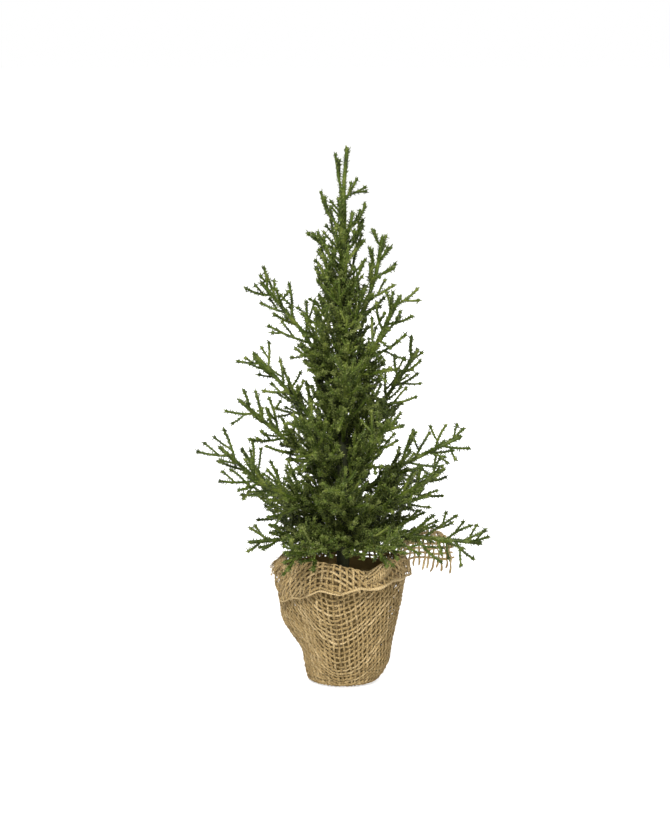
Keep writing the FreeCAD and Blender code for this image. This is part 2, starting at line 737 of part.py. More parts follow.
def build():
    """Makes the document and returns it with the sub-part objects, the sizes and the branches."""
    doc = FreeCAD.newDocument("tabletop_tree")
    sheet = new_sheet(doc, "dims", DIMENSIONS)
    table = doc.addObject("Spreadsheet::Sheet", "branch_table")
    columns = ("height", "bearing", "length", "rise_root", "rise_tip", "bend_down", "bend_up")
    for number, row in enumerate(BRANCHES, start=1):
        for column, letter, value in zip(columns, "ABCDEFG", row):
            table.set(f"{letter}{number}", str(value))
            table.setAlias(f"{letter}{number}", f"{column}_of_{number:02d}")
    doc.recompute()
    size = {alias: float(sheet.get(alias)) for alias in DIMENSIONS}
    rows = [
        [float(table.get(f"{column}_of_{number:02d}")) for column in columns]
        for number in range(1, len(BRANCHES) + 1)
    ]
    branches = [Branch(number, row, size) for number, row in enumerate(rows, start=1)]

    corner_points = []
    made = [
        make_pot(doc),
        make_ballast(doc),
        make_rod(doc),
        make_tape(doc, size, branches),
        make_cloth(doc, size, corner_points),
        solid_feature(doc, "wire_stubs", Part.makeCompound([stub_solid(b, size) for b in branches])),
    ]

    stem, twigs, forks = leader_shoots(size)
    made.append(solid_feature(doc, "leader_spray", leader_solid(size, stem, twigs, forks)))

    crown = Crown(CLEARANCE)
    for case in crown.cells:
        crown.add(case, "leader", [p for shoot in [stem] + twigs + forks for p in shoot.points()])
        crown.add(case, "cloth", corner_points)
    for branch in branches:
        points = branch.stem.points()
        assert is_clear(crown, branch, points[3:], size), f"stem {branch.name} has no room"
        settle(crown, branch, points)
    sprig_stem, sprig_twigs = sprig_shoots(size)
    places = sprig_places(crown, size, sprig_stem, sprig_twigs)
    made.append(solid_feature(doc, "inner_sprigs", sprigs_compound(size, sprig_stem, sprig_twigs, places)))
    rng = random.Random(SEED)
    for branch in branches:
        grow_twigs(crown, branch, size, rng)
    for branch in branches:
        grow_forks(crown, branch, size, rng)
    for branch in branches:
        made.append(solid_feature(doc, f"spray_{branch.name}", spray_solid(branch, size)))
        made.append(solid_feature(doc, f"wire_{branch.name}", wire_solid(branch, size)))
    doc.recompute()
    return doc, made, size, branches


def check(doc, made):
    for obj in doc.Objects:
        bad = [state for state in obj.State if state in ("Invalid", "Error")]
        assert not bad, f"{obj.Label} is {bad}"
    for obj in made:
        assert not obj.Shape.isNull() and obj.Shape.isValid(), f"{obj.Label} has no valid shape"
        assert obj.Shape.Solids, f"{obj.Label} holds no solid"


doc, made, size, branches = build()
check(doc, made)
os.makedirs("parts", exist_ok=True)
for obj in made:
    obj.Shape.exportStep(f"parts/{obj.Label}.step")
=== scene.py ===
import heapq
import json
import math

import bpy
import numpy as np
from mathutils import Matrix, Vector
from mathutils.kdtree import KDTree
from numpy.linalg import norm

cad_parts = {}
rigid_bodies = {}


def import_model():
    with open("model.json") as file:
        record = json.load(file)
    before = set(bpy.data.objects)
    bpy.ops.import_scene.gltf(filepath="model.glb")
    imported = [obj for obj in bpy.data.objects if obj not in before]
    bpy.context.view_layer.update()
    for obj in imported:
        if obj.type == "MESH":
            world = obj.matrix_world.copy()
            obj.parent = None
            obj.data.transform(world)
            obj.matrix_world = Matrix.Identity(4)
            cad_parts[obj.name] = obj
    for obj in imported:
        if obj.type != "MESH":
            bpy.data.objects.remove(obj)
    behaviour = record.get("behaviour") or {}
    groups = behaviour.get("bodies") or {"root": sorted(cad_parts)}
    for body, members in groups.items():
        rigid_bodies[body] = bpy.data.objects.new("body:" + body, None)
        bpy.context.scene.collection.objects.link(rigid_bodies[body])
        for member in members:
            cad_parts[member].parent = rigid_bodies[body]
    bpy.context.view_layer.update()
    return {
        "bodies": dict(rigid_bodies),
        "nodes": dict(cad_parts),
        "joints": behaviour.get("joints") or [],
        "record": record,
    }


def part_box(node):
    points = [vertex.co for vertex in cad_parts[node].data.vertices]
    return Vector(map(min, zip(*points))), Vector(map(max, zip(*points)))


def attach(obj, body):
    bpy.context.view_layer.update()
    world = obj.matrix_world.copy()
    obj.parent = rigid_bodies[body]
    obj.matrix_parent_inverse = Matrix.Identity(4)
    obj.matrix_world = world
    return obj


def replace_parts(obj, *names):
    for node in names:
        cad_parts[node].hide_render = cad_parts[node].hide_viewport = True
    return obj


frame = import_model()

# Looks of a small artificial evergreen in a pot wrapped in burlap.
#
# The sprays, the pot and what is inside it are CAD nodes with materials. This script adds needles
# and twiglets to the sprays, and weaves the burlap, yarn by yarn, in place of its CAD solid.

NODES = frame["nodes"]
MM = 0.001
SEED = 5
rng = np.random.default_rng(SEED)

# ------ small helpers


def smooth_step(x):
    x = np.clip(x, 0, 1)
    return x * x * (3 - 2 * x)


def new_object(name, data):
    obj = bpy.data.objects.new(name, data)
    bpy.context.scene.collection.objects.link(obj)
    return obj


def unit(vectors):
    return vectors / np.maximum(norm(vectors, axis=-1, keepdims=True), 1e-12)


class Heap:
    """Gathers many small pieces into one mesh, with named values at each point."""

    def __init__(self, *names):
        self.points, self.faces, self.count = [], {3: [], 4: []}, 0
        self.values = {name: [] for name in names}

    def add(self, points, faces, **values):
        self.points.append(points)
        for group in faces:
            self.faces[group.shape[1]].append(group + self.count)
        for name in self.values:
            self.values[name].append(np.broadcast_to(values[name], len(points)))
        self.count += len(points)

    def make(self, name, body, material, slot):
        """The mesh object, riding on a body."""
        groups = [np.concatenate(faces) for faces in self.faces.values() if faces]
        sizes = np.concatenate([np.full(len(group), group.shape[1]) for group in groups])
        corners = np.concatenate([group.ravel() for group in groups])
        mesh = bpy.data.meshes.new(name)
        mesh.vertices.add(self.count)
        mesh.vertices.foreach_set("co", np.concatenate(self.points).astype(np.float32).ravel())
        mesh.loops.add(len(corners))
        mesh.loops.foreach_set("vertex_index", corners.astype(np.int32))
        mesh.polygons.add(len(sizes))
        mesh.polygons.foreach_set("loop_start", (np.cumsum(sizes) - sizes).astype(np.int32))
        mesh.polygons.foreach_set("use_smooth", np.ones(len(sizes), bool))
        for label, parts in self.values.items():
            attribute = mesh.attributes.new(label, "FLOAT", "POINT")
            attribute.data.foreach_set("value", np.concatenate(parts).astype(np.float32))
        mesh.update(calc_edges=True)
        obj = new_object(name, mesh)
        mesh.materials.append(material)
        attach(obj, body)
        return obj


def tube(heap, centres, sides, ups, widths, depths, edges=5, **values):
    """Adds a closed tube along the centres, with an elliptical section of these half axes."""
    turns = 2 * math.pi * np.arange(edges) / edges
    across = sides[:, None] * (widths[:, None] * np.cos(turns))[:, :, None]
    high = ups[:, None] * (depths[:, None] * np.sin(turns))[:, :, None]
    rings = centres[:, None] + across + high
    count = len(centres)
    ring = np.arange(edges)
    after = np.roll(ring, -1)
    near = edges * np.arange(count - 1)[:, None]
    far = near + edges
    walls = np.stack([near + ring, near + after, far + after, far + ring], axis=2)
    points = np.concatenate([rings.reshape(-1, 3), centres[[0, -1]]])
    last = edges * (count - 1)
    cap_low = np.stack([after, ring, np.full(edges, edges * count)], axis=1)
    cap_high = np.stack([last + ring, last + after, np.full(edges, edges * count + 1)], axis=1)
    spread = {
        name: np.concatenate([np.repeat(value, edges), value[[0, -1]]])
        for name, value in values.items()
    }
    spread["around"] = np.concatenate([np.tile(np.cos(turns), count), [0, 0]])
    heap.add(points, [walls.reshape(-1, 4), cap_low, cap_high], **spread)


# ------ materials

PLY_LENGTH = 1.5 * MM
TAPE_WIDTH = 7 * MM


class Shader:
    """A new material's node tree, with short ways to add nodes to it."""

    def __init__(self, name):
        self.material = bpy.data.materials.new(name)
        self.material.use_nodes = True
        self.tree = self.material.node_tree
        self.surface = self.tree.nodes["Principled BSDF"]

    def node(self, kind, **inputs):
        made = self.tree.nodes.new(kind)
        for name, value in inputs.items():
            self.put(made.inputs[name.replace("_", " ")], value)
        return made

    def put(self, socket, value):
        if isinstance(value, bpy.types.NodeSocket):
            self.tree.links.new(value, socket)
        else:
            socket.default_value = value

    def set(self, **inputs):
        for name, value in inputs.items():
            self.put(self.surface.inputs[name.replace("_", " ")], value)

    def where(self, stretch=(1, 1, 1)):
        """Object coordinates, stretched."""
        place = self.node("ShaderNodeTexCoord").outputs["Object"]
        return self.node("ShaderNodeMapping", Vector=place, Scale=stretch).outputs["Vector"]

    def noise(self, scale, detail=3, rough=0.5, place=None):
        """Noise between 0 and 1. Scale is in features per metre."""
        place = place or self.where()
        inputs = {"Vector": place, "Scale": scale, "Detail": detail, "Roughness": rough}
        return self.node("ShaderNodeTexNoise", **inputs).outputs[0]

    def value(self, name):
        made = self.node("ShaderNodeAttribute")
        made.attribute_name = name
        return made.outputs["Fac"]

    def sum(self, kind, *inputs):
        """A Math node of this kind over one to three inputs."""
        made = self.node("ShaderNodeMath")
        made.operation = kind
        for socket, value in zip(made.inputs, inputs):
            self.put(socket, value)
        return made.outputs[0]

    def ramp(self, fac, *stops):
        """Colours between stops, each a place and a colour or a grey."""
        made = self.node("ShaderNodeValToRGB", Fac=fac)
        while len(made.color_ramp.elements) < len(stops):
            made.color_ramp.elements.new(0.5)
        for element, (place, colour) in zip(made.color_ramp.elements, stops):
            element.position = place
            element.color = (*np.broadcast_to(colour, 3), 1)
        return made.outputs["Color"]

    def mix(self, fac, first, second, blend="MIX"):
        made = self.node("ShaderNodeMix")
        made.data_type = "RGBA"
        made.blend_type = blend
        # For colours, a Mix node's inputs are 0, 6 and 7, and its output is 2.
        for number, value in ((0, fac), (6, first), (7, second)):
            bare = isinstance(value, tuple) and len(value) == 3
            self.put(made.inputs[number], (*value, 1) if bare else value)
        return made.outputs[2]

    def stain(self, share, colour, fac, *stops):
        """The colour multiplied by a ramp, by this share."""
        return self.mix(share, colour, self.ramp(fac, *stops), "MULTIPLY")

    def bump(self, height, strength, distance):
        made = self.node("ShaderNodeBump", Height=height, Strength=strength, Distance=distance)
        self.set(Normal=made.outputs["Normal"])


def foliage_material(name, needles):
    """Waxy moulded plastic in mottled greens. Needles are darker at their roots, a painted shade,
    and lighter towards their tips, a painted highlight over a paler tint.
    """
    shader = Shader(name)
    patches = shader.noise(90, 3, 0.6)
    grain = shader.noise(1400, 2, 0.6)
    deep, leaf, olive = (0.020, 0.034, 0.002), (0.066, 0.100, 0.008), (0.175, 0.210, 0.036)
    colour = shader.ramp(patches, (0.32, deep), (0.50, leaf), (0.68, olive))
    if needles:
        dull, fresh, pale = (0.018, 0.032, 0.002), (0.095, 0.135, 0.012), (0.42, 0.46, 0.16)
        light = shader.ramp(shader.value("tone"), (0.0, dull), (0.55, fresh), (1.0, pale))
        colour = shader.mix(0.6, colour, light)
        tip = shader.value("tip")
        # Painted shade: darkest at each needle's root, where it meets the twig, rising to a slight
        # painted brightening past its middle.
        root, end = (0.34, 0.36, 0.32), (1.05, 1.05, 0.95)
        colour = shader.stain(1.0, colour, tip, (0.0, root), (0.6, end))
        # Painted highlight on the needle tips, together with their paler yellow-green tint.
        tip_highlight_and_tint = shader.sum("MULTIPLY", shader.sum("POWER", tip, 3.0), 0.65)
        colour = shader.mix(tip_highlight_and_tint, colour, (0.36, 0.42, 0.12))
    colour = shader.stain(0.7, colour, grain, (0.35, 0.78), (0.75, 1.15))
    rough = shader.sum("MULTIPLY_ADD", grain, 0.25, 0.38)
    shader.set(Base_Color=colour, Roughness=rough, IOR=1.5, Specular_IOR_Level=0.28)
    shader.bump(shader.noise(2600, 3, 0.6), 0.35, 0.0001)
    return shader.material


def burlap_material():
    """Jute yarn: dull straw brown, each yarn its own tone, with plied twist, painted shade in the
    twist's grooves, and loose fibres.
    """
    shader = Shader("burlap_jute")
    along, around, tone = shader.value("along"), shader.value("around"), shader.value("tone")
    turn = shader.sum("MULTIPLY", along, 2 * math.pi / PLY_LENGTH)
    turn = shader.sum("MULTIPLY_ADD", around, 1.4, turn)
    twist = shader.sum("MULTIPLY_ADD", shader.sum("SINE", turn), 0.5, 0.5)
    fibre = shader.noise(3200, 4, 0.7)
    blotch = shader.noise(160, 3, 0.6)
    brown, straw, pale = (0.30, 0.210, 0.088), (0.48, 0.355, 0.165), (0.68, 0.53, 0.29)
    colour = shader.ramp(tone, (0.0, brown), (0.5, straw), (1.0, pale))
    colour = shader.stain(0.8, colour, blotch, (0.3, (0.78, 0.76, 0.72)), (0.7, (1.12, 1.10, 1.08)))
    colour = shader.stain(0.75, colour, fibre, (0.3, (0.62, 0.58, 0.52)), (0.7, 1.2))
    # Painted shade in the grooves of the ply twist: the yarn is darker where the twist dips.
    colour = shader.stain(0.8, colour, twist, (0.0, (0.70, 0.66, 0.60)), (0.45, 1.0))
    shader.set(Base_Color=colour, Roughness=0.92, Specular_IOR_Level=0.15)
    shader.set(Sheen_Weight=0.1, Sheen_Roughness=0.5)
    shader.bump(shader.sum("MULTIPLY_ADD", fibre, 0.6, twist), 0.6, 0.0002)
    return shader.material


def pot_material():
    """Dark brown polypropylene with faint flow marks and scuffs."""
    shader = Shader("pot_brown_plastic")
    marks = shader.noise(60, 4, 0.6, shader.where((1, 1, 0.25)))
    scuffs = shader.noise(900, 3, 0.7)
    colour = shader.ramp(marks, (0.3, (0.225, 0.155, 0.056)), (0.7, (0.32, 0.225, 0.090)))
    rough = shader.sum("MULTIPLY_ADD", scuffs, 0.3, 0.5)
    shader.set(Base_Color=colour, Roughness=rough, Specular_IOR_Level=0.02)
    shader.bump(scuffs, 0.15, 0.0002)
    return shader.material


def cement_material():
    """Grey cement with sand grains and pits."""
    shader = Shader("ballast_cement")
    cloud = shader.noise(120, 5, 0.6)
    sand = shader.noise(2400, 2, 0.7)
    colour = shader.ramp(cloud, (0.3, (0.24, 0.225, 0.205)), (0.7, (0.40, 0.38, 0.35)))
    colour = shader.stain(0.5, colour, sand, (0.4, (0.6, 0.58, 0.55)), (0.6, 1.1))
    shader.set(Base_Color=colour, Roughness=0.95)
    shader.bump(sand, 0.5, 0.0004)
    return shader.material


def steel_material():
    """Drawn steel rod with fine lengthwise lines."""
    shader = Shader("rod_steel")
    lines = shader.noise(900, 3, 0.6, shader.where((1, 1, 0.02)))
    colour = shader.ramp(lines, (0.3, (0.32, 0.32, 0.31)), (0.7, (0.55, 0.55, 0.53)))
    rough = shader.sum("MULTIPLY_ADD", lines, 0.2, 0.28)
    shader.set(Base_Color=colour, Metallic=1.0, Roughness=rough)
    return shader.material


def tape_material():
    """Dull green-brown tape wound in a rising spiral, so that each turn laps the last, with a
    painted shadow and a painted highlight at each lap.
    """
    shader = Shader("trunk_tape_wound")
    place = shader.node("ShaderNodeSeparateXYZ", Vector=shader.where())
    x, y, z = (place.outputs[name] for name in "XYZ")
    turn = shader.sum("DIVIDE", shader.sum("ARCTAN2", y, x), 2 * math.pi)
    lap = shader.sum("FRACT", shader.sum("ADD", shader.sum("DIVIDE", z, TAPE_WIDTH), turn))
    crepe = shader.noise(1800, 3, 0.6, shader.where((1, 1, 0.35)))
    # Painted shadow at the step where each turn laps the last, then a narrow painted highlight
    # (edge) beside it, then the tape's own flat colour.
    shadow, edge, flat = (0.014, 0.018, 0.005), (0.040, 0.046, 0.014), (0.028, 0.034, 0.010)
    colour = shader.ramp(lap, (0.0, shadow), (0.08, edge), (1.0, flat))
    colour = shader.stain(0.5, colour, crepe, (0.3, 0.7), (0.7, 1.2))
    shader.set(Base_Color=colour, Roughness=0.75)
    shader.bump(shader.sum("MULTIPLY_ADD", crepe, 0.3, lap), 0.5, 0.0003)
    return shader.material


def wire_material():
    """Soft steel wire under dark green lacquer."""
    shader = Shader("wire_lacquer")
    flaw = shader.noise(1200, 3, 0.6)
    colour = shader.ramp(flaw, (0.3, (0.020, 0.034, 0.012)), (0.7, (0.040, 0.060, 0.022)))
    rough = shader.sum("MULTIPLY_ADD", flaw, 0.2, 0.30)
    shader.set(Base_Color=colour, Roughness=rough, Coat_Weight=0.4)
    return shader.material


# ------ needles on the moulded sprays

NEEDLE_GAP = 1.28 * MM
NEEDLE_LENGTH = 1.8 * MM
NEEDLE_HALF_WIDTH = 0.48 * MM
NEEDLE_HALF_DEPTH = 0.34 * MM
NEEDLE_SUNK = 0.25 * MM
NEEDLE_RINGS = ((0.0, 0.85), (0.55, 1.0))  # each ring's share of the length and of the width
NEEDLE_LIFTS = (32, 62)  # degrees off the twig
NEEDLE_LEAN = 0.22
NEEDLE_REACHES = (0.6, 1.25)
NEEDLE_CURL = 0.12
BARE_RUN, GROWN_RUN = 6 * MM, 22 * MM  # along a spray, where its needles start to thicken
TRIES = 4  # for each square of the gap
WELD_GAP = 0.001 * MM
SMALLEST_AREA = 1e-12
SHARP = math.cos(math.radians(35))  # a sharper edge divides two twigs
HEADING_ROUNDS = 3
LOOSE_RUN = 30 * MM  # taken for a piece of a node that doesn't touch its root


def welded(node):
    """The points and triangles of a CAD node, with points that coincide joined."""
    mesh = NODES[node].data
    mesh.calc_loop_triangles()
    points = np.empty(3 * len(mesh.vertices), np.float32)
    mesh.vertices.foreach_get("co", points)
    corners = np.empty(3 * len(mesh.loop_triangles), np.int32)
    mesh.loop_triangles.foreach_get("vertices", corners)
    points = points.reshape(-1, 3).astype(float)
    rounded = np.round(points / WELD_GAP)
    _, first, joined = np.unique(rounded, axis=0, return_index=True, return_inverse=True)
    triangles = joined.ravel()[corners.reshape(-1, 3)]
    distinct = (triangles != np.roll(triangles, 1, axis=1)).all(axis=1)
    return points[first], triangles[distinct]


def neighbours(triangles):
    """Pairs of triangles that share an edge."""
    edges = np.stack([triangles, np.roll(triangles, -1, axis=1)], axis=2).reshape(-1, 2)
    edges = np.sort(edges, axis=1)
    owner = np.repeat(np.arange(len(triangles)), 3)
    order = np.lexsort((edges[:, 1], edges[:, 0]))
    edges, owner = edges[order], owner[order]
    same = (edges[1:] == edges[:-1]).all(axis=1)
    return owner[:-1][same], owner[1:][same]


def distances(points, triangles, start):
    """How far each point is from the start, along the edges of the mesh."""
    edges = np.concatenate([triangles[:, [0, 1]], triangles[:, [1, 2]], triangles[:, [2, 0]]])
    lengths = norm(points[edges[:, 0]] - points[edges[:, 1]], axis=1)
    links = [[] for _ in points]
    for (a, b), length in zip(edges.tolist(), lengths.tolist()):
        links[a].append((b, length))
        links[b].append((a, length))
    found = [math.inf] * len(points)
    found[start] = 0.0
    queue = [(0.0, start)]
    while queue:
        reached, here = heapq.heappop(queue)
        if reached > found[here]:
            continue
        for there, length in links[here]:
            if reached + length < found[there]:
                found[there] = reached + length
                heapq.heappush(queue, (reached + length, there))
    return np.array(found)


def headings(points, triangles, normals, areas, run):
    """The way each triangle's twig grows: square to the normals round it, away from the root."""
    one, two = neighbours(triangles)
    smooth = (normals[one] * normals[two]).sum(axis=1) > SHARP
    one, two = one[smooth], two[smooth]
    spread = areas[:, None, None] * normals[:, :, None] * normals[:, None, :]
    for _ in range(HEADING_ROUNDS):
        wider = spread.copy()
        np.add.at(wider, one, spread[two])
        np.add.at(wider, two, spread[one])
        spread = wider / np.trace(wider, axis1=1, axis2=2)[:, None, None] * areas[:, None, None]
    along = np.linalg.eigh(spread)[1][:, :, 0]
    corners = points[triangles]
    offsets = ((corners - corners.mean(axis=1, keepdims=True)) * along[:, None]).sum(axis=2)
    gains = run[triangles] - run[triangles].mean(axis=1, keepdims=True)
    return along * np.where((offsets * gains).sum(axis=1) < 0, -1.0, 1.0)[:, None]


def scatter(corners, areas, gap):
    """Random places on triangles, no two nearer than the gap. First comes each one's triangle."""
    count = int(areas.sum() / gap**2 * TRIES)
    chosen = rng.choice(len(areas), count, p=areas / areas.sum())
    first, second = np.sqrt(rng.random(count)), rng.random(count)
    shares = np.stack([1 - first, first * (1 - second), first * second], axis=1)
    places = (corners[chosen] * shares[:, :, None]).sum(axis=1)
    tree = KDTree(count)
    for number, place in enumerate(places):
        tree.insert(place, number)
    tree.balance()
    free = np.ones(count, bool)
    kept = []
    for number in range(count):
        if free[number]:
            kept.append(number)
            for _, other, _ in tree.find_range(places[number], gap):
                free[other] = False
    return chosen[kept], places[kept]


def add_needles(heap, places, normals, along, tones, lengths):
    """Short keeled needles of seven points: a base ring, a ring past the middle and a tip."""
    count = len(places)
    lift = np.radians(rng.uniform(*NEEDLE_LIFTS, count))[:, None]
    lean = rng.normal(0, NEEDLE_LEAN, count)[:, None]
    side = unit(np.cross(normals, along))
    growth = unit(along * np.cos(lift) + normals * np.sin(lift) + side * lean)
    side = unit(np.cross(normals, growth))
    back = np.cross(growth, side)
    reach = (lengths * rng.uniform(*NEEDLE_REACHES, count))[:, None]
    corners = np.radians([90, 210, 330])
    points = np.empty((count, 7, 3))
    for row, (share, wide) in enumerate(NEEDLE_RINGS):
        centre = places - normals * NEEDLE_SUNK * (1 - share) + growth * reach * share
        for number, corner in enumerate(corners):
            across = side * (math.cos(corner) * NEEDLE_HALF_WIDTH * wide)
            deep = back * (math.sin(corner) * NEEDLE_HALF_DEPTH * wide)
            points[:, 3 * row + number] = centre + across + deep
    points[:, 6] = places + growth * reach + along * (NEEDLE_CURL * reach)
    first = 7 * np.arange(count)[:, None]
    faces = [first + np.array([0, 2, 1])]
    for number in range(3):
        after = (number + 1) % 3
        faces.append(first + np.array([number, after, 3 + after, 3 + number]))
        faces.append(first + np.array([3 + number, 3 + after, 6]))
    # The tip value runs from 0 at the base to 1 at the tip; the material paints shade at the base
    # and a highlight at the tip from it.
    shares = np.tile([0, 0, 0, 0.5, 0.5, 0.5, 1], count)
    heap.add(points.reshape(-1, 3), faces, tone=np.repeat(tones, 7), tip=shares)


def root_point(node, body):
    """Where a spray starts: its branch's hinge, or for a piece of the trunk its lowest point."""
    for joint in frame["joints"]:
        if joint["child"] == body:
            return np.array(joint["pos_m"])
    low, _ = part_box(node)
    return np.array([0, 0, low.z])


def survey(node, body):
    """Evenly spread places on a CAD node: the place, the surface's normal there, the way the twig
    grows, and how far along the spray it is."""
    points, triangles = welded(node)
    corners = points[triangles]
    crossed = np.cross(corners[:, 1] - corners[:, 0], corners[:, 2] - corners[:, 0])
    areas = norm(crossed, axis=1) / 2
    sound = areas > SMALLEST_AREA
    triangles, corners, areas = triangles[sound], corners[sound], areas[sound]
    normals = unit(crossed[sound])
    start = int(np.argmin(norm(points - root_point(node, body), axis=1)))
    run = distances(points, triangles, start)
    run[np.isinf(run)] = LOOSE_RUN
    along = headings(points, triangles, normals, areas, run)
    chosen, places = scatter(corners, areas, NEEDLE_GAP)
    return places, normals[chosen], along[chosen], run[triangles[chosen]].mean(axis=1)


# ------ twiglets in the crown's middle

ROOM, OWN_ROOM = 2.7 * MM, 1.9 * MM  # to another body's foliage, and to a body's own
POSES = ("rest", "low", "high")
AROUND = [(a, b, c) for a in (-1, 0, 1) for b in (-1, 0, 1) for c in (-1, 0, 1)]
CLOTH_RADIUS = -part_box("burlap_wrap")[0].x
CLOTH_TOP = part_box("pot_shell")[1].z + 9 * MM
BESIDE_CLOTH, ABOVE_CLOTH = 4 * MM, 5 * MM
TWIGLET_SHARES = np.array([0, 0.2, 0.4, 0.6, 0.78, 0.92, 1.0])
TWIGLET_RADII = np.array([0.66, 0.64, 0.61, 0.58, 0.55, 1.05, 0.40]) * MM
TWIGLET_SUNK = 0.4 * MM
TWIGLET_SPREADS = (38, 60)  # degrees off the twig
TWIGLET_RISE, TWIGLET_CURL = 0.28, 0.12
TWIGLET_TONE = (0.42, 0.24)  # mean and spread
TWIGLET_ROUNDS = ((22, 10 * MM, 15 * MM), (38, 6 * MM, 10 * MM))  # how many, shortest, longest
TRUNK_TIMES = 4  # so many more on each piece that stays with the trunk
TAPE_EXTRA = 5 * MM  # longer on the tape
SLANT = np.array([0.31, 0.17, 0.93])  # a direction that no twiglet follows
SPIRAL_STEP = 0.52 * MM
BUD_NEEDLES = 7
GOLDEN = math.radians(137.5)
ZONE_HEIGHTS = np.array([85, 130, 200, 240, 265]) * MM
ZONE_RADII = np.array([46, 44, 33, 14, 0.1]) * MM
ZONE_CORE = 0.35
TWIGLETS_FROM = 5 * MM


class Hinge:
    """Turns points of a body as its joint bends it. The root doesn't turn."""

    def __init__(self, body):
        self.joint = next((joint for joint in frame["joints"] if joint["child"] == body), None)

    def turned(self, points, pose):
        if self.joint is None or pose == "rest":
            return points
        angle = math.radians(self.joint["range_deg"][0 if pose == "low" else 1])
        pivot, axis = np.array(self.joint["pos_m"]), np.array(self.joint["axis"])
        offset = points - pivot
        along = (offset @ axis)[:, None] * axis
        beside = (offset - along) * math.cos(angle)
        return pivot + along + beside + np.cross(axis, offset) * math.sin(angle)


class Space:
    """Whose foliage is where: at rest, and with every branch at its lower or upper limit."""

    def __init__(self):
        self.cells = {pose: {} for pose in POSES}
        self.hinges = {body: Hinge(body) for body in frame["bodies"]}

    def add(self, body, points):
        for pose in POSES:
            moved = self.hinges[body].turned(points, pose)
            cells = np.floor(moved / ROOM).astype(int).tolist()
            for cell, point in zip(cells, moved.tolist()):
                self.cells[pose].setdefault(tuple(cell), []).append((body, point))

    def meets(self, pose, body, points, own=False):
        """True if a point is too near foliage of another body, or with own, of this body."""
        gap = (OWN_ROOM if own else ROOM) ** 2
        filled = self.cells[pose]
        cells = np.floor(points / ROOM).astype(int).tolist()
        for (i, j, k), (x, y, z) in zip(cells, points.tolist()):
            for a, b, c in AROUND:
                for other, (p, q, r) in filled.get((i + a, j + b, k + c), ()):
                    if (other == body) == own and (p - x) ** 2 + (q - y) ** 2 + (r - z) ** 2 < gap:
                        return True
        return False

    def free(self, body, points):
        """True if a twiglet of this body has room, at rest and when it or the others bend."""
        hinge = self.hinges[body]
        if self.meets("rest", body, points[2:], own=True):
            return False
        for pose in POSES:
            moved = hinge.turned(points, pose)
            out = np.hypot(moved[:, 0], moved[:, 1])
            low = moved[:, 2] < CLOTH_TOP + ABOVE_CLOTH
            if (low & (out < CLOTH_RADIUS + BESIDE_CLOTH)).any():
                return False
            if self.meets("rest", body, moved) or self.meets(pose, body, moved):
                return False
        return not (self.meets("low", body, points) or self.meets("high", body, points))


def grow_twiglets(space, body, spots, wanted, shortest, longest):
    """The lines of twiglets that find room, tried at random places on a body's foliage."""
    places, normals, along, _ = spots
    grown = []
    for number in rng.permutation(len(places)):
        if len(grown) >= wanted:
            break
        length = rng.uniform(shortest, longest)
        spread = math.radians(rng.uniform(*TWIGLET_SPREADS))
        heading = along[number] * math.cos(spread) + normals[number] * math.sin(spread)
        shares = TWIGLET_SHARES[:, None]
        curl = np.array([0, 0, TWIGLET_RISE]) + along[number] * TWIGLET_CURL
        start = places[number] - normals[number] * TWIGLET_SUNK
        line = start + length * (heading * shares + curl * shares**2)
        if space.free(body, line[1:]):
            grown.append(line)
            space.add(body, line[1:])
    return grown


def add_twiglets(heap, lines):
    """The stems of twiglets, with a bud at each tip, and their needles in a spiral."""
    for line in lines:
        length = norm(line[-1] - line[0])
        along = unit(np.gradient(line, axis=0))
        side = unit(np.cross(along, SLANT))
        up = np.cross(side, along)
        tone = float(np.clip(rng.normal(*TWIGLET_TONE), 0, 1))
        # The stems' tip values, up to 0.4, give them the needles' painted shade, darker towards
        # their base.
        values = {"tone": np.full(len(line), tone), "tip": TWIGLET_SHARES * 0.4}
        tube(heap, line, side, up, TWIGLET_RADII, TWIGLET_RADII, edges=6, **values)
        count = int(length / SPIRAL_STEP)
        shares = np.concatenate([np.linspace(0.1, 0.88, count), np.full(BUD_NEEDLES, 0.95)])
        turns = GOLDEN * np.arange(len(shares)) + rng.uniform(0, 6)
        number = np.searchsorted(TWIGLET_SHARES, shares) - 1
        part = ((shares - TWIGLET_SHARES[number]) / np.diff(TWIGLET_SHARES)[number])[:, None]
        centre = line[number] * (1 - part) + line[number + 1] * part
        radius = np.interp(shares, TWIGLET_SHARES, TWIGLET_RADII)[:, None]
        normals = side[number] * np.cos(turns)[:, None] + up[number] * np.sin(turns)[:, None]
        tones = np.clip(tone + rng.normal(0, 0.2, len(shares)), 0, 1)
        lengths = np.full(len(shares), NEEDLE_LENGTH * 0.9)
        add_needles(heap, centre + normals * radius, normals, along[number], tones, lengths)


def near_trunk(spots):
    """The places where twiglets may start: near the trunk, in a zone that narrows upwards."""
    places, _, _, reached = spots
    out = np.hypot(places[:, 0], places[:, 1])
    zone = np.interp(places[:, 2], ZONE_HEIGHTS, ZONE_RADII)
    wanted = 1 - smooth_step((out / zone - ZONE_CORE) / (1 - ZONE_CORE))
    kept = (rng.random(len(places)) < wanted) & (reached > TWIGLETS_FROM)
    return tuple(part[kept] for part in spots)


def cover(heap, places, normals, along, reached):
    """Needles at a spray's places: fewer and shorter near its root, and darker there, a painted
    shade for the inside of the crown.
    """
    grown = smooth_step((reached - BARE_RUN) / GROWN_RUN)
    kept = rng.random(len(places)) < 0.35 + 0.65 * grown
    # Darker tones near the root: painted shade deep in the crown, over a random spread of tones.
    tones = np.clip(rng.normal(0.32 + 0.2 * grown, 0.26), 0, 1)
    lengths = NEEDLE_LENGTH * (0.7 + 0.3 * grown)
    add_needles(heap, places[kept], normals[kept], along[kept], tones[kept], lengths[kept])


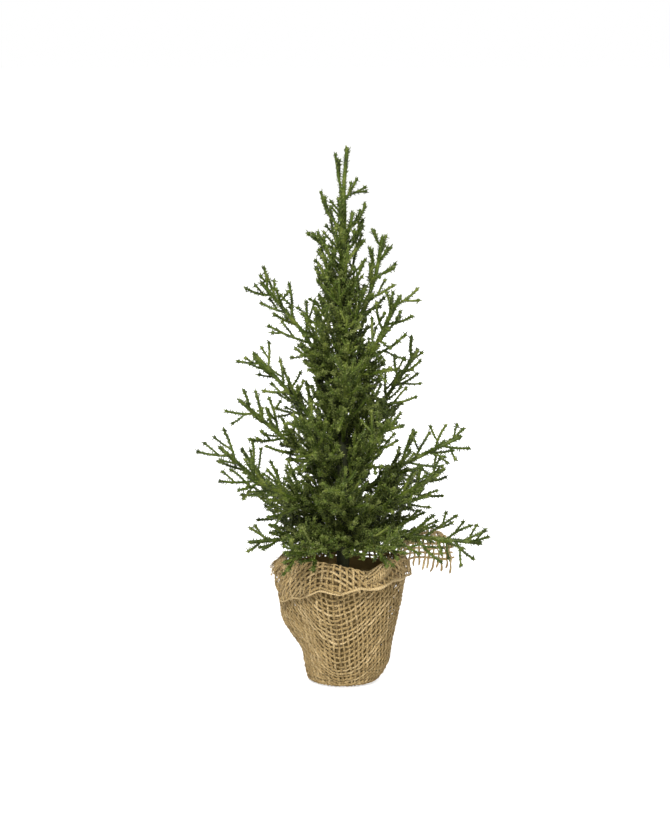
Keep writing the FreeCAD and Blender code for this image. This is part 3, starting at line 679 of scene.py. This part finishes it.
def make_foliage(material):
    """The needles and twiglets of each spray as one mesh."""
    spots = {}
    for body, members in frame["record"]["behaviour"]["bodies"].items():
        for node in members:
            if node.startswith("spray_") or node in ("leader_spray", "inner_sprigs", "trunk_tape"):
                spots[node] = (body, survey(node, body))
    space = Space()
    for body, found in spots.values():
        space.add(body, found[0])
    lines = {node: [] for node in spots}
    for wanted, shortest, longest in TWIGLET_ROUNDS:
        for node, (body, found) in spots.items():
            many = wanted * (TRUNK_TIMES if body == "root" else 1)
            extra = TAPE_EXTRA if node == "trunk_tape" else 0
            sizes = (shortest + extra, longest + extra)
            lines[node] += grow_twiglets(space, body, near_trunk(found), many, *sizes)
    for node, (body, found) in spots.items():
        heap = Heap("tone", "tip")
        if node != "trunk_tape":
            cover(heap, *found)
        add_twiglets(heap, lines[node])
        heap.make("needles_" + node.replace("spray_", ""), body, material, "foliage")


# ------ burlap

PITCH = 3.5 * MM
YARN_HALF_WIDTH = 0.80 * MM
YARN_HALF_DEPTH = 0.38 * MM
YARN_STEP = PITCH / 3
YARN_VALUES = ("along", "around", "tone")
YARN_WANDER, YARN_UNEVEN = 0.10, 0.16
SHORTEST_YARN = 3
MOST_OF_ROOM = 0.42
WAVE_RATES = (60, 520)
TUFT_YARNS, TUFT_BEARINGS = 60, (-102, -74)
FUZZ_TRIES, FUZZ_LENGTHS, FUZZ_RADIUS = 3200, (2.0, 6.0), 0.055 * MM
LEVEL = 0.1  # millimetres between the heights at which the outline is read
OUTLINE_STEPS, BLUR = 240, 8


class Outline:
    """The cloth's outer outline, read from its CAD solid on the side away from the loose corner."""

    def __init__(self, node):
        points, _ = welded(node)
        radii = np.hypot(points[:, 0], points[:, 1])
        tip = points[np.argmax(radii)]
        self.corner_bearing = math.atan2(tip[1], tip[0])
        self.corner_reach = radii.max()
        self.corner_top = points[:, 2].max()
        towards = np.array([math.cos(self.corner_bearing), math.sin(self.corner_bearing), 0])
        away = points @ towards < 0
        radii, heights = radii[away], np.round(points[away, 2] / (LEVEL * MM)).astype(int)
        levels = np.unique(heights)
        outer = [(radii[heights == level].max(), level * LEVEL * MM) for level in levels]
        corners = np.array([(0.0, 0.0)] + outer)
        steps = np.concatenate([[0], np.cumsum(norm(np.diff(corners, axis=0), axis=1))])
        self.base = steps[1]
        self.length = steps[-1]
        self.runs = np.linspace(0, self.length, OUTLINE_STEPS)
        line = np.stack([np.interp(self.runs, steps, row) for row in corners.T])
        window = np.hanning(2 * BLUR + 1)
        window = window / window.sum()
        padded = np.pad(line, ((0, 0), (BLUR, BLUR)), "reflect", reflect_type="odd")
        self.radius, self.height = (np.convolve(row, window, "valid") for row in padded)
        self.rim_radius, self.rim_height = self.radius[-1], self.height[-1]

    def at(self, run):
        """Radius and height at this distance along the outline from the middle of the base."""
        return np.interp(run, self.runs, self.radius), np.interp(run, self.runs, self.height)

    def out(self, run):
        """The outline's outward direction, as its radial and upward shares."""
        step = 1 * MM
        r1, z1 = self.at(run - step)
        r2, z2 = self.at(run + step)
        length = np.maximum(np.hypot(r2 - r1, z2 - z1), 1e-9)
        return (z2 - z1) / length, -(r2 - r1) / length


def around_pot(bearing, centre, width):
    """A soft bump round the pot, 1 at its centre. The centre and the width are in degrees."""
    away = (np.degrees(bearing) - centre + 180) % 360 - 180
    return np.exp(-((away / width) ** 2))


def at_bearing(bearing, reach, height):
    """Places this far out and this high, at a bearing from the front towards the right."""
    return np.stack([reach * np.sin(bearing), -reach * np.cos(bearing), height], axis=-1)


def by_bearing(bearing, bearings, lengths):
    """Lengths given at some bearings, read at any bearing."""
    return np.interp(bearing, bearings, lengths, period=2 * math.pi)


# Soft folds in the cloth round the pot, in degrees and millimetres: bearing from the front towards
# the right, width, how far the cloth stands out (or in), height, and half the fold's own height.
FOLDS = [
    (-8, 8, 1.3, 46, 44),
    (-92, 34, 4.6, 44, 13),
    (-92, 34, -3.0, 20, 9),
    (-78, 9, -2.4, 58, 9),
    (-44, 12, -1.3, 44, 30),
    (26, 14, -1.0, 46, 30),
    (86, 36, 2.8, 13, 12),
    (84, 30, 1.2, 34, 12),
    (80, 16, -1.2, 60, 12),
    (118, 12, -1.8, 48, 34),
    (150, 11, 1.2, 40, 34),
    (176, 12, -1.6, 46, 34),
    (208, 11, 1.3, 40, 34),
    (236, 12, -1.8, 44, 34),
]
FOLDS_FADE = 7 * MM
BASE_TURN, RIM_TURN = math.radians(4), math.radians(-13)
FOLD_RADIUS = 1.5 * MM
LEFT_RISE, RIGHT_RISE = 24 * MM, 17 * MM
OVERLAP, MOST_CUFF = 3 * MM, 28 * MM
HEM_STEPS = 421
LAP_DEPTH, LAP_FROM = 1.6 * MM, 0.9 * MM
CORNER_FOLD, CORNER_DOUBLED, CORNER_FOOT = 1.2 * MM, 9 * MM, 4.6 * MM
UPPER_FROM, UPPER_OVER = 58 * MM, 22 * MM
# How the rim's height differs from the CAD cloth's, and how deep the turned-down part is.
RIM_BEARINGS = np.radians([-180, -100, -80, -62, -50, -20, -3, 10, 19, 32, 46, 62, 85, 180])
RIM_RISES = [-1.5, -2.0, -3.0, -3.5, 2.0, 3.3, 1.8, -0.5, -2.8, -2.2, 2.4, 1.5, -1.5, -1.5]
CUFF_BEARINGS = np.radians([-180, -130, -100, -80, -66, -40, -20, -3, 14, 25, 37, 59, 80, 150, 180])
CUFF_DEPTHS = [12, 13, 16, 20, 22, 22, 16.5, 15.5, 8.5, 9, 10, 10.5, 9, 12, 12]
RIM_RISES, CUFF_DEPTHS = np.array(RIM_RISES) * MM, np.array(CUFF_DEPTHS) * MM


class Wrap:
    """The cloth round the pot, turned out and down over itself at the rim.

    Cloth coordinates: u runs round the pot from a line down its front, v up the pot. The yarns that
    run round it are level at the front line, rise steeply on each side of it where the cloth is
    pulled on the bias, and are level again at the sides and the back."""

    def __init__(self, outline):
        self.outline = outline
        self.turned_at = outline.length
        self.cuff_at = outline.length + math.pi * FOLD_RADIUS
        self.middle_radius = outline.at(0.65 * outline.length)[0]
        self.half_turn = math.pi * self.middle_radius
        half_rim = math.pi * outline.rim_radius
        self.span_u = (-half_rim - OVERLAP, half_rim + OVERLAP)
        self.span_v = (outline.base - 2 * LEFT_RISE, self.cuff_at + MOST_CUFF)

    def run(self, u, v):
        """How far along the outline from the middle of the base."""
        rise = np.where(u < 0, LEFT_RISE, RIGHT_RISE)
        return v + rise * (1 - np.cos(2 * math.pi * u / self.half_turn))

    def spread(self, run):
        """The radius at which the cloth's own width round the pot is true to size."""
        radius, _ = self.outline.at(np.minimum(run, self.turned_at))
        return 0.55 * radius + 0.45 * self.middle_radius

    def bearing(self, u, v):
        """Where a point of the cloth lies: its angle from the front towards the right."""
        run = self.run(u, v)
        front = BASE_TURN + (RIM_TURN - BASE_TURN) * np.clip(run / self.outline.length, 0, 1)
        return front + u / self.spread(run)

    def cuff_depth(self, bearing):
        """How far the turned-down part reaches below the rim: deepest at the left."""
        depth = by_bearing(bearing, CUFF_BEARINGS, CUFF_DEPTHS)
        return depth + (0.5 * np.sin(7 * bearing + 0.6) + 0.3 * np.sin(13 * bearing + 2.0)) * MM

    def rim_rise(self, bearing):
        """How far the rim stands above the CAD cloth's."""
        near = [by_bearing(bearing + step, RIM_BEARINGS, RIM_RISES) for step in (-0.06, 0, 0.06)]
        return sum(near) / 3

    def folds(self, bearing, height):
        total = np.zeros_like(bearing)
        for centre, width, amount, level, half in FOLDS:
            upright = np.exp(-(((height / MM - level) / half) ** 2))
            total += amount * around_pot(bearing, centre, width) * upright
        return total * MM

    def place(self, u, v):
        run = self.run(u, v)
        bearing = self.bearing(u, v)
        on_wall = np.minimum(run, self.turned_at)
        radius, height = self.outline.at(on_wall)
        out, up = self.outline.out(np.minimum(on_wall, self.turned_at - 1.5 * MM))
        push = self.folds(bearing, height) * smooth_step(height / FOLDS_FADE) - 2 * YARN_HALF_DEPTH
        radius, height = radius + out * push, np.maximum(height + up * push, 2 * YARN_HALF_DEPTH)
        upper = smooth_step((height - UPPER_FROM) / UPPER_OVER)
        height = height + self.rim_rise(bearing) * upper
        turn = np.clip((run - self.turned_at) / FOLD_RADIUS, 0, math.pi)
        radius = radius + FOLD_RADIUS * (1 - np.cos(turn))
        height = height + FOLD_RADIUS * np.sin(turn)
        drop = np.maximum(run - self.cuff_at, 0)
        below = height - drop
        wall = np.interp(below, self.outline.height, self.outline.radius)
        wall = wall + self.folds(bearing, below) - self.outline.rim_radius
        radius = radius + smooth_step(drop / (5 * MM)) * np.maximum(wall, 0)
        radius = radius + self.cuff_lift(bearing, drop)
        return at_bearing(bearing, radius, below)

    def cuff_lift(self, bearing, drop):
        """How far the turned-down part stands off the wall: most in front, in a soft roll."""
        reach = np.clip(drop / self.cuff_depth(bearing), 0, 1.3)
        thick = 0.7 + 3.4 * around_pot(bearing, 14, 34) + 0.8 * around_pot(bearing, -60, 16)
        ripples = 0.55 * np.sin(8 * bearing + 230 * drop)
        ripples = ripples + 0.35 * np.sin(15 * bearing - 260 * drop + 1)
        return (thick * reach**1.2 + ripples * smooth_step(drop / (6 * MM))) * MM

    def holds(self, u, v, fray):
        """True where there is cloth. Fray is how far beyond the edge a yarn's end comes out."""
        run = self.run(u, v)
        lapped = np.abs(u / self.spread(run)) < math.pi + 0.02
        low, high = self.outline.base - 1 * MM, self.edge(self.bearing(u, v)) + fray
        return lapped & (run > low) & (run < high)

    def turned(self, u, v):
        """True on the turned-down part, where the cloth's other face is outside."""
        return self.run(u, v) > self.cuff_at

    def edge(self, bearing):
        return self.cuff_at + self.cuff_depth(bearing)

    def edge_line(self):
        """Cloth coordinates along the turned-down edge."""
        radius = self.spread(self.turned_at)
        u = np.linspace(-math.pi * radius, math.pi * radius, HEM_STEPS)
        bearing = RIM_TURN + u / radius
        return u, self.edge(bearing) - self.run(u, 0)


class Lap(Wrap):
    """The cloth's inner layer where it lies doubled, in the folds that stand off the pot."""

    def place(self, u, v):
        points = super().place(u + 0.5 * PITCH, v + 0.5 * PITCH)
        out = norm(points[..., :2], axis=-1, keepdims=True)
        inwards = 1 - LAP_DEPTH / out
        return points * np.concatenate([inwards, inwards, np.ones_like(out)], axis=-1)

    def holds(self, u, v, fray):
        run = self.run(u, v)
        _, height = self.outline.at(run)
        loose = self.folds(self.bearing(u, v), height) > LAP_FROM
        return loose & (run < self.turned_at - 3 * MM) & super().holds(u, v, fray)


class Base:
    """The flat piece of the cloth under the pot."""

    def __init__(self, outline):
        self.radius = outline.base - 0.6 * MM
        self.span_u = self.span_v = (-self.radius, self.radius)

    def place(self, u, v):
        return np.stack([u, v, np.full_like(u, 2 * YARN_HALF_DEPTH)], axis=-1)

    def holds(self, u, v, fray):
        return np.hypot(u, v) < self.radius


class Corner:
    """The loose corner: an open sheet standing out from the rim, doubled over along its top, with a
    fringe along its foot."""

    def __init__(self, outline):
        self.outline = outline
        self.across = outline.corner_reach - outline.rim_radius + 9 * MM
        self.tall = outline.corner_top - outline.rim_height + 8 * MM
        self.foot = outline.rim_height - 10.5 * MM
        self.span_u = (0, self.across + 4 * MM)
        self.span_v = (-8 * MM, self.tall + 12 * MM)

    def top(self, u):
        """How tall the sheet is at this distance out: an arch."""
        share = np.clip(u / self.across, 0, 1)
        return self.tall * (0.50 + 0.50 * np.sin(math.pi * (0.08 + 0.78 * share)))

    def place(self, u, v):
        top = self.top(u)
        over = np.clip((v - top) / CORNER_FOLD, 0, math.pi)
        beyond = np.maximum(v - top - math.pi * CORNER_FOLD, 0)
        v = np.minimum(v, top) + CORNER_FOLD * np.sin(over) - beyond
        share = u / self.across
        ripple = 0.08 * np.sin(5 * share + 90 * v)
        bearing = self.outline.corner_bearing - 0.50 * (1 - share) ** 2 + ripple
        reach = self.outline.rim_radius - 6 * MM + u + 0.9 * MM * np.sin(v / (5 * MM))
        sway = (1.5 * np.sin(u / (5.0 * MM)) + 5.0 * (v / self.tall - 0.5)) * MM
        sway = sway - CORNER_FOLD * (1 - np.cos(over))
        x = reach * np.cos(bearing) - sway * np.sin(bearing)
        y = reach * np.sin(bearing) + sway * np.cos(bearing)
        return np.stack([x, y, self.foot + v + 1.6 * MM * np.sin(4.5 * share)], axis=-1)

    def holds(self, u, v, fray):
        """Upright yarns hang out at the foot, and those that run across stick out at the side."""
        if np.ptp(v) > np.ptp(u):
            side, foot = self.across - 2 * MM, -1.5 * fray
        else:
            side, foot = self.across + fray, CORNER_FOOT
        return (u > 0) & (u < side) & (v > foot) & (v < self.top(u) + CORNER_DOUBLED)


class Roll:
    """The rim's rolled part right of the front, which leads up into the loose corner."""

    def __init__(self, outline):
        self.outline = outline
        self.length, self.girth = 42 * MM, 21 * MM
        self.span_u, self.span_v = (0, self.girth), (0, self.length)

    def place(self, u, v):
        share = np.clip(v / self.length, 0, 1)
        bearing = np.radians(14 + 38 * share)
        thick = (0.5 + 3.0 * np.sin(math.pi * share) ** 0.7) * MM
        turn = 2.5 * share - 2 * math.pi * u / self.girth
        reach = self.outline.rim_radius + (3.0 + 1.5 * share - 7 * share**6) * MM
        reach = reach + thick * np.cos(turn)
        height = self.outline.rim_height + (10.5 * share**1.3 - 7) * MM + 1.4 * thick * np.sin(turn)
        return at_bearing(bearing, reach, height)

    def holds(self, u, v, fray):
        return (u > 0) & (u < self.girth) & (v > 0) & (v < self.length)


def sheet_frame(sheet, u, v):
    """Places on a sheet, its normals there, and how a place moves with u and with v."""
    step = 0.25 * MM
    over_u = (sheet.place(u + step, v) - sheet.place(u - step, v)) / (2 * step)
    over_v = (sheet.place(u, v + step) - sheet.place(u, v - step)) / (2 * step)
    return sheet.place(u, v), unit(np.cross(over_u, over_v)), over_u, over_v


def stretches(inside):
    """The unbroken stretches of true values: pairs of first and last index."""
    edges = np.diff(np.concatenate([[0], inside.astype(int), [0]]))
    return zip(np.flatnonzero(edges == 1), np.flatnonzero(edges == -1) - 1)


def wander(run, size):
    """A smooth random curve of about this size along a yarn."""
    slow, fast = WAVE_RATES
    waves = rng.uniform((slow, 0), (fast, 2 * math.pi), (4, 2))
    return size / 2 * sum(np.sin(rate * run + phase) for rate, phase in waves)


def weave(sheet, pitch, thickness, fray, tone_mean):
    """The sheet's warp and weft, two heaps of yarn, each passing over one and under the next."""
    heaps = []
    for upright in (True, False):
        heap = Heap(*YARN_VALUES)
        spans = (sheet.span_u, sheet.span_v)
        (low, high), (first, last) = spans if upright else spans[::-1]
        for number in range(math.ceil(low / pitch), math.floor(high / pitch) + 1):
            run = np.arange(first, last, YARN_STEP * pitch / PITCH)
            beside = number * pitch + wander(run, YARN_WANDER * pitch)
            u, v = (beside, run) if upright else (run, beside)
            tone = rng.normal(tone_mean, YARN_UNEVEN) + wander(run, YARN_UNEVEN)
            tone = np.clip(tone, 0, 1)
            slub = 1 + wander(run, YARN_UNEVEN)
            for begin, end in stretches(sheet.holds(u, v, rng.uniform(0, 1) * fray)):
                if end - begin < SHORTEST_YARN:
                    continue
                part = slice(begin, end + 1)
                centre, normal, over_u, over_v = sheet_frame(sheet, u[part], v[part])
                along, across = (over_v, over_u) if upright else (over_u, over_v)
                stretch = np.maximum(norm(along, axis=1), 1e-6)
                room = norm(np.cross(along, across), axis=1) / stretch * pitch
                side = unit(np.cross(unit(along), normal))
                wave = np.cos(math.pi * (run[part] / pitch + number)) * (1 if upright else -1)
                centre = centre + normal * (wave * YARN_HALF_DEPTH * thickness)[:, None]
                wide = np.minimum(YARN_HALF_WIDTH * thickness, MOST_OF_ROOM * room) * slub[part]
                deep = np.minimum(YARN_HALF_DEPTH * thickness * slub[part], wide)
                count = np.arange(len(wide)) + 0.6
                ends = smooth_step(count / 2) * smooth_step(count[::-1] / 2)
                values = {"along": run[part], "tone": tone[part]}
                tube(heap, centre, side, normal, wide * ends, deep * ends, **values)
        heaps.append(heap)
    return heaps


def strand(heap, line, aside, thick, edges=5, **values):
    """A round tube along a line. Aside is a direction that the line doesn't follow."""
    along = unit(np.gradient(line, axis=0))
    side = unit(np.cross(along, aside))
    tube(heap, line, side, np.cross(side, along), thick, thick, edges, **values)


def hem(wrap):
    """The cord of twisted yarn along the turned-down edge."""
    heap = Heap(*YARN_VALUES)
    u, v = wrap.edge_line()
    centre, normal, _, _ = sheet_frame(wrap, u, v)
    along = unit(np.gradient(centre, axis=0))
    side = unit(np.cross(along, normal))
    run = np.concatenate([[0], np.cumsum(norm(np.diff(centre, axis=0), axis=1))])
    bearing = wrap.bearing(u, v)
    size = (0.60 + 0.65 * around_pot(bearing, 38, 24)) * MM * (1 + wander(run, 0.2))
    tone = np.clip(0.85 + wander(run, 0.1), 0, 1)
    tube(heap, centre, side, normal, size, size * 0.8, edges=7, along=run, tone=tone)
    return heap


def tuft(outline, count):
    """The frayed end at the left: loose yarns that hang out over the rim."""
    heap = Heap(*YARN_VALUES)
    share = np.linspace(0, 1, 9)
    for _ in range(count):
        bearing = math.radians(rng.uniform(*TUFT_BEARINGS)) + rng.normal(0, 0.07) * share
        length = rng.uniform(0.6, 1.1)
        waves = 0.5 * np.sin(9 * share + length * 40)
        reach = outline.rim_radius + (-1.5 + 9.5 * length * share + waves) * MM
        hang = 2.5 * share - rng.uniform(5, 14) * share**2
        height = outline.rim_height - 2 * MM + hang * length * MM
        line = at_bearing(bearing, reach, height)
        thick = rng.uniform(0.22, 0.42) * MM * (1 - 0.5 * share)
        tone = np.full(9, rng.uniform(0.4, 1.0))
        strand(heap, line, np.array([0, 0, 1.0]), thick, along=share * 10 * MM, tone=tone)
    return heap


def fuzz(sheet, count):
    """Loose fibres that stand off the cloth."""
    heap = Heap(*YARN_VALUES)
    u, v = rng.uniform(*sheet.span_u, count), rng.uniform(*sheet.span_v, count)
    inside = sheet.holds(u, v, 0)
    u, v = u[inside], v[inside]
    centre, normal, over_u, over_v = sheet_frame(sheet, u, v)
    normal = np.where(sheet.turned(u, v)[:, None], -normal, normal)
    share = np.linspace(0, 1, 6)[:, None]
    for place, out, way in zip(centre, normal, unit(over_u + over_v)):
        length = rng.uniform(*FUZZ_LENGTHS) * MM
        turn = rng.uniform(0, 2 * math.pi)
        flat = way * math.cos(turn) + np.cross(out, way) * math.sin(turn)
        bend = np.cross(out, flat) * rng.normal(0, 0.6)
        rise = out * share * (1.1 - share) * rng.uniform(0.3, 1.2)
        line = place + length * (flat * share + rise + bend * share**2)
        line[:, 2] = np.maximum(line[:, 2], 0.1 * MM)  # above the floor
        thin = FUZZ_RADIUS * (1 - 0.7 * share[:, 0])
        tone = np.full(6, rng.uniform(0.6, 1.0))
        strand(heap, line, out, thin, edges=3, along=share[:, 0] * length, tone=tone)
    return heap


def make_burlap():
    """All the pieces that stand for the CAD cloth."""
    material = burlap_material()
    outline = Outline("burlap_wrap")
    wrap = Wrap(outline)
    pieces = {}
    for name, sheet, pitch, thickness, fray, tone in (
        ("wrap", wrap, PITCH, 1.0, 2 * MM, 0.5),
        ("lap", Lap(outline), PITCH, 1.0, 0, 0.4),
        ("base", Base(outline), PITCH, 1.0, 0, 0.5),
        # The loose corner's yarns get a paler tone: painted light, brightening the corner where the
        # branches above shade it.
        ("corner", Corner(outline), PITCH * 0.94, 1.0, 3 * MM, 0.85),
        ("roll", Roll(outline), PITCH * 0.6, 0.75, 0, 0.6),
    ):
        names = (f"burlap_{name}_warp", f"burlap_{name}_weft")
        pieces.update(zip(names, weave(sheet, pitch, thickness, fray, tone)))
    pieces["burlap_hem"] = hem(wrap)
    pieces["burlap_tuft"] = tuft(outline, TUFT_YARNS)
    pieces["burlap_fuzz"] = fuzz(wrap, FUZZ_TRIES)
    for name, heap in pieces.items():
        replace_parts(heap.make(name, "root", material, "burlap"), "burlap_wrap")


# ------ stage, light and camera

FLOOR_HALF = 8.0
FLOOR_GLOW = 0.75
SURROUND_LIGHT = 0.38
LIGHTS = (  # name, place, side in metres, power in watts
    ("key_soft", (-0.35, -1.35, 1.35), 0.45, 35),
    ("fill_back", (0.5, 1.5, 0.9), 0.9, 14),
    ("fill_front", (0.9, -1.6, 0.4), 0.9, 5),
)
CAMERA_RISE = math.radians(10)
CAMERA_AWAY = 1.8
CAMERA_ANGLE = math.radians(17.06)


def make_floor():
    """A pale floor that fades into the white surround."""
    half = FLOOR_HALF
    corners = [(-half, -half, 0), (half, -half, 0), (half, half, 0), (-half, half, 0)]
    mesh = bpy.data.meshes.new("floor")
    mesh.from_pydata(corners, [], [(0, 1, 2, 3)])
    floor = new_object("floor", mesh)
    shader = Shader("floor_white")
    seen = shader.node("ShaderNodeLightPath").outputs["Is Camera Ray"]
    shader.set(Base_Color=(0.80, 0.80, 0.80, 1), Roughness=1.0, Emission_Color=(1, 1, 1, 1))
    shader.set(Emission_Strength=shader.sum("MULTIPLY", seen, FLOOR_GLOW))
    mesh.materials.append(shader.material)


def make_world():
    """White to the camera, and a softer light to everything else."""
    world = bpy.data.worlds.new("white_surround")
    bpy.context.scene.world = world
    world.use_nodes = True
    tree = world.node_tree
    seen = tree.nodes.new("ShaderNodeLightPath").outputs["Is Camera Ray"]
    strength = tree.nodes.new("ShaderNodeMapRange")
    strength.inputs["To Min"].default_value = SURROUND_LIGHT
    strength.inputs["To Max"].default_value = 1.0
    tree.links.new(seen, strength.inputs["Value"])
    background = tree.nodes["Background"].inputs
    tree.links.new(strength.outputs[0], background["Strength"])
    background["Color"].default_value = (1, 1, 1, 1)


def aimed(name, data, place, target):
    """A new lamp or camera at a place, facing a target."""
    obj = new_object(name, data)
    obj.location = place
    obj.rotation_mode = "QUATERNION"
    obj.rotation_quaternion = (target - obj.location).to_track_quat("-Z", "Y")
    return obj


def make_lights(middle):
    for name, place, size, power in LIGHTS:
        data = bpy.data.lights.new(name, "AREA")
        data.size, data.energy = size, power
        aimed(name, data, place, middle)


def make_camera(middle):
    """In front and a little above, as a catalogue picture is taken."""
    data = bpy.data.cameras.new("camera")
    data.sensor_fit = "VERTICAL"
    data.angle = CAMERA_ANGLE
    away = Vector((0, -math.cos(CAMERA_RISE), math.sin(CAMERA_RISE))) * CAMERA_AWAY
    bpy.context.scene.camera = aimed("camera", data, middle + away, middle)


# ------ everything

FINISHES = {
    "foliage": foliage_material("foliage_moulded", False),
    "core_wire": wire_material(),
    "steel_rod": steel_material(),
    "stem_tape": tape_material(),
    "pot_plastic": pot_material(),
    "cement": cement_material(),
}
for subpart in frame["record"]["subparts"]:
    if subpart["material_slot"] in FINISHES:
        shown = NODES[subpart["node"]].data.materials
        shown.clear()
        shown.append(FINISHES[subpart["material_slot"]])

make_foliage(foliage_material("foliage_needles", True))
make_burlap()
make_floor()
make_world()
MIDDLE = Vector((-5.2 * MM, 0, 176 * MM))
make_lights(MIDDLE)
make_camera(MIDDLE)
bpy.context.scene.view_settings.view_transform = "Standard"
